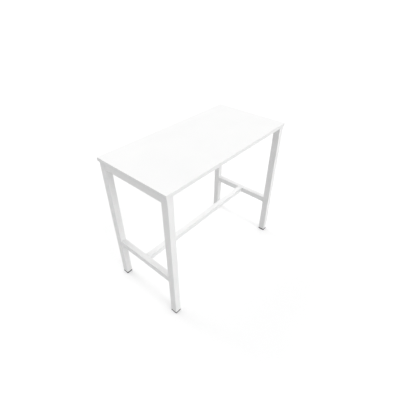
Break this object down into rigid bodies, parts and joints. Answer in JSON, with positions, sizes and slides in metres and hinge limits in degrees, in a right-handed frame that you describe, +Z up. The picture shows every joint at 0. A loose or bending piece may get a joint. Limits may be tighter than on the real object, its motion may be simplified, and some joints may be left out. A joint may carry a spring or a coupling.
{
  "type": "high table",
  "caption": "Bar-height rectangular table: thin white top on a white square-tube frame with end rails, low cross rails, a long footrest bar and dark levelling feet.",
  "frame": {"origin": "on the floor, in the middle of the table's plan", "axes": "+X along the table's length to the right as seen from the front, +Y from the front to the back, +Z up"},
  "size_m": [1.2, 0.6, 1.03],
  "materials": {
    "white_board": "white melamine face with a fine satin grain",
    "white_edging": "satin edging strip",
    "white_paint": "fine white powder coat on steel tube",
    "white_plastic": "moulded cap, satin",
    "dark_plastic": "moulded foot, matt dark grey",
    "zinc_steel": "zinc plated"
  },
  "bodies": {
    "frame": {"tabletop_board": "white_board", "edging_front": "white_edging", "edging_back": "white_edging", "edging_left": "white_edging", "edging_right": "white_edging", "leg_front_left": "white_paint", "leg_front_right": "white_paint", "leg_back_left": "white_paint", "leg_back_right": "white_paint", "end_rail_left": "white_paint", "end_rail_right": "white_paint", "low_rail_left": "white_paint", "low_rail_right": "white_paint", "footrest_bar": "white_paint", "beam_front": "white_paint", "beam_back": "white_paint", "beam_plates": "white_paint", "beam_bolts": "zinc_steel", "beam_rivets": "zinc_steel", "footrest_plates": "white_paint", "footrest_bolts": "zinc_steel", "footrest_caps": "white_plastic", "top_screws": "zinc_steel", "leg_plug_front_left": "dark_plastic", "leg_plug_front_right": "dark_plastic", "leg_plug_back_left": "dark_plastic", "leg_plug_back_right": "dark_plastic", "plug_nuts": "zinc_steel"},
    "pad_front_left": {"foot_pad_front_left": "dark_plastic"},
    "stud_front_left": {"foot_stud_front_left": "zinc_steel"},
    "pad_front_right": {"foot_pad_front_right": "dark_plastic"},
    "stud_front_right": {"foot_stud_front_right": "zinc_steel"},
    "pad_back_left": {"foot_pad_back_left": "dark_plastic"},
    "stud_back_left": {"foot_stud_back_left": "zinc_steel"},
    "pad_back_right": {"foot_pad_back_right": "dark_plastic"},
    "stud_back_right": {"foot_stud_back_right": "zinc_steel"}
  },
  "joints": [
    {"name": "pad_slide_front_left", "type": "slide", "parent": "frame", "child": "pad_front_left", "axis": [0, 0, -1], "range_m": [0, 0.012]},
    {"name": "stud_turn_front_left", "type": "hinge", "parent": "pad_front_left", "child": "stud_front_left", "pos_m": [-0.5695, -0.27, 0.003], "axis": [0, 0, -1], "range_deg": [0, 3420]},
    {"name": "pad_slide_front_right", "type": "slide", "parent": "frame", "child": "pad_front_right", "axis": [0, 0, -1], "range_m": [0, 0.012]},
    {"name": "stud_turn_front_right", "type": "hinge", "parent": "pad_front_right", "child": "stud_front_right", "pos_m": [0.5695, -0.27, 0.003], "axis": [0, 0, -1], "range_deg": [0, 3420]},
    {"name": "pad_slide_back_left", "type": "slide", "parent": "frame", "child": "pad_back_left", "axis": [0, 0, -1], "range_m": [0, 0.012]},
    {"name": "stud_turn_back_left", "type": "hinge", "parent": "pad_back_left", "child": "stud_back_left", "pos_m": [-0.5695, 0.27, 0.003], "axis": [0, 0, -1], "range_deg": [0, 3420]},
    {"name": "pad_slide_back_right", "type": "slide", "parent": "frame", "child": "pad_back_right", "axis": [0, 0, -1], "range_m": [0, 0.012]},
    {"name": "stud_turn_back_right", "type": "hinge", "parent": "pad_back_right", "child": "stud_back_right", "pos_m": [0.5695, 0.27, 0.003], "axis": [0, 0, -1], "range_deg": [0, 3420]}
  ],
  "couplings": [
    {"joint": "pad_slide_front_left", "follows": "stud_turn_front_left", "m_per_rad": 0.00019894},
    {"joint": "pad_slide_front_right", "follows": "stud_turn_front_right", "m_per_rad": 0.00019894},
    {"joint": "pad_slide_back_left", "follows": "stud_turn_back_left", "m_per_rad": 0.00019894},
    {"joint": "pad_slide_back_right", "follows": "stud_turn_back_right", "m_per_rad": 0.00019894}
  ]
}
